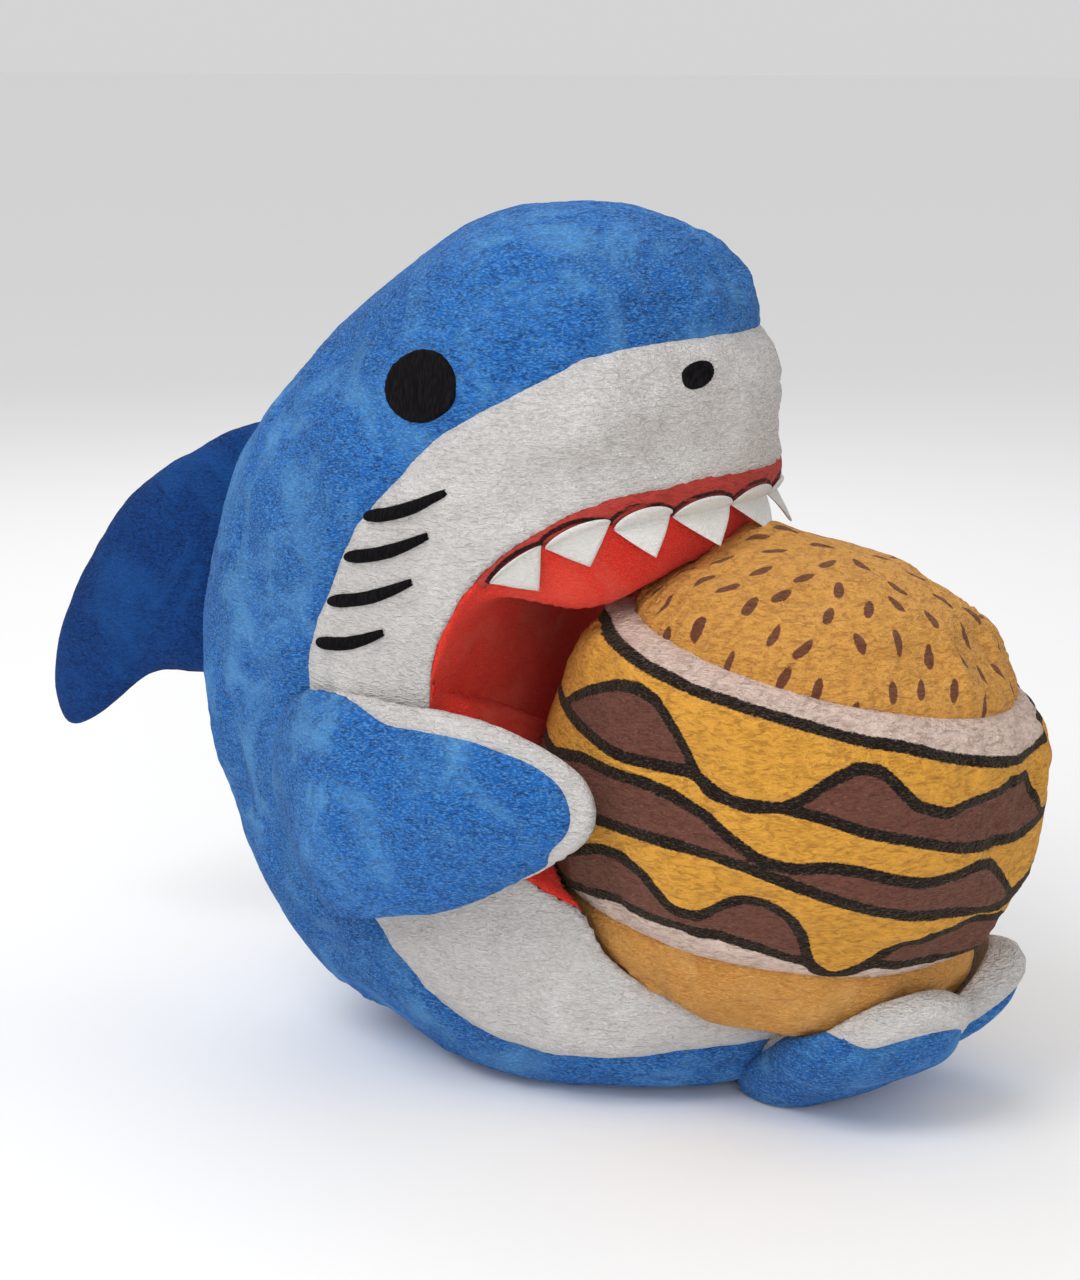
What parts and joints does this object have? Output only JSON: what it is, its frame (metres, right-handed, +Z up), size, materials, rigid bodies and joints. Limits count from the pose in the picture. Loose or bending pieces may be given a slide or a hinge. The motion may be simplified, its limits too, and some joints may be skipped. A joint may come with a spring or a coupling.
{
  "type": "plush toy",
  "caption": "Stuffed plush shark curled upright with a stuffed burger sewn in its open mouth; its fins and tail flukes flex at their sewn roots.",
  "frame": {"origin": "middle of the bounding box at the surface it rests on", "axes": "+Z up, the shark faces -Y, its right side is -X"},
  "size_m": [0.152, 0.2885, 0.209],
  "materials": {
    "black_thread": "satin stitch",
    "blue_plush": "short pile",
    "dark_blue_plush": "short pile",
    "pink_printed_plush": "printed short pile",
    "plain_bun_plush": "short pile",
    "polyester_filling": "soft fibre",
    "printed_band_plush": "printed short pile",
    "red_tricot": "brushed knit",
    "seeded_bun_plush": "printed short pile",
    "white_felt": "matt felt",
    "white_plush": "short pile"
  },
  "bodies": {
    "shark_and_burger": {"back_panel_left": "blue_plush", "back_panel_right": "blue_plush", "belly_panel": "white_plush", "bun_bottom_panel": "plain_bun_plush", "bun_top_panel": "seeded_bun_plush", "burger_stuffing": "polyester_filling", "eye_left": "black_thread", "eye_right": "black_thread", "face_panel": "white_plush", "gill_stitches_left": "black_thread", "gill_stitches_right": "black_thread", "gum_strip": "pink_printed_plush", "mouth_lining_lower": "red_tricot", "mouth_lining_upper": "red_tricot", "nostril_left": "black_thread", "nostril_right": "black_thread", "side_band_panel": "printed_band_plush", "tooth_left_1": "white_felt", "tooth_left_2": "white_felt", "tooth_left_3": "white_felt", "tooth_left_4": "white_felt", "tooth_middle": "white_felt", "tooth_right_1": "white_felt", "tooth_right_2": "white_felt", "tooth_right_3": "white_felt", "tooth_right_4": "white_felt", "torso_stuffing": "polyester_filling"},
    "dorsal_fin": {"dorsal_panel_left": "dark_blue_plush", "dorsal_panel_right": "dark_blue_plush", "dorsal_stuffing": "polyester_filling"},
    "left_fluke": {"fluke_left_stuffing": "polyester_filling", "fluke_left_top": "white_plush", "fluke_left_under": "blue_plush"},
    "right_fluke": {"fluke_right_stuffing": "polyester_filling", "fluke_right_top": "white_plush", "fluke_right_under": "blue_plush"},
    "left_pectoral_fin": {"pectoral_left_inner": "white_plush", "pectoral_left_outer": "blue_plush", "pectoral_left_stuffing": "polyester_filling"},
    "right_pectoral_fin": {"pectoral_right_inner": "white_plush", "pectoral_right_outer": "blue_plush", "pectoral_right_stuffing": "polyester_filling"}
  },
  "joints": [
    {"name": "right_pectoral_flex", "type": "hinge", "parent": "shark_and_burger", "child": "right_pectoral_fin", "pos_m": [-0.062, 0.034, 0.074], "axis": [0, 0, -1], "range_deg": [0, 35], "stiffness_Nm_per_rad": 0.05},
    {"name": "left_pectoral_flex", "type": "hinge", "parent": "shark_and_burger", "child": "left_pectoral_fin", "pos_m": [0.062, 0.034, 0.074], "axis": [0, 0, 1], "range_deg": [0, 35], "stiffness_Nm_per_rad": 0.05},
    {"name": "dorsal_sway", "type": "hinge", "parent": "shark_and_burger", "child": "dorsal_fin", "pos_m": [0, 0.08, 0.084], "axis": [0, -0.2421, 0.9703], "range_deg": [-11, 11], "stiffness_Nm_per_rad": 0.08},
    {"name": "right_fluke_flop", "type": "hinge", "parent": "shark_and_burger", "child": "right_fluke", "pos_m": [-0.016, -0.088, 0.01], "axis": [0.9117, -0.4108, 0], "range_deg": [0, 6], "stiffness_Nm_per_rad": 0.05},
    {"name": "left_fluke_flop", "type": "hinge", "parent": "shark_and_burger", "child": "left_fluke", "pos_m": [0.016, -0.088, 0.01], "axis": [0.9117, 0.4108, 0], "range_deg": [0, 6], "stiffness_Nm_per_rad": 0.05}
  ]
}
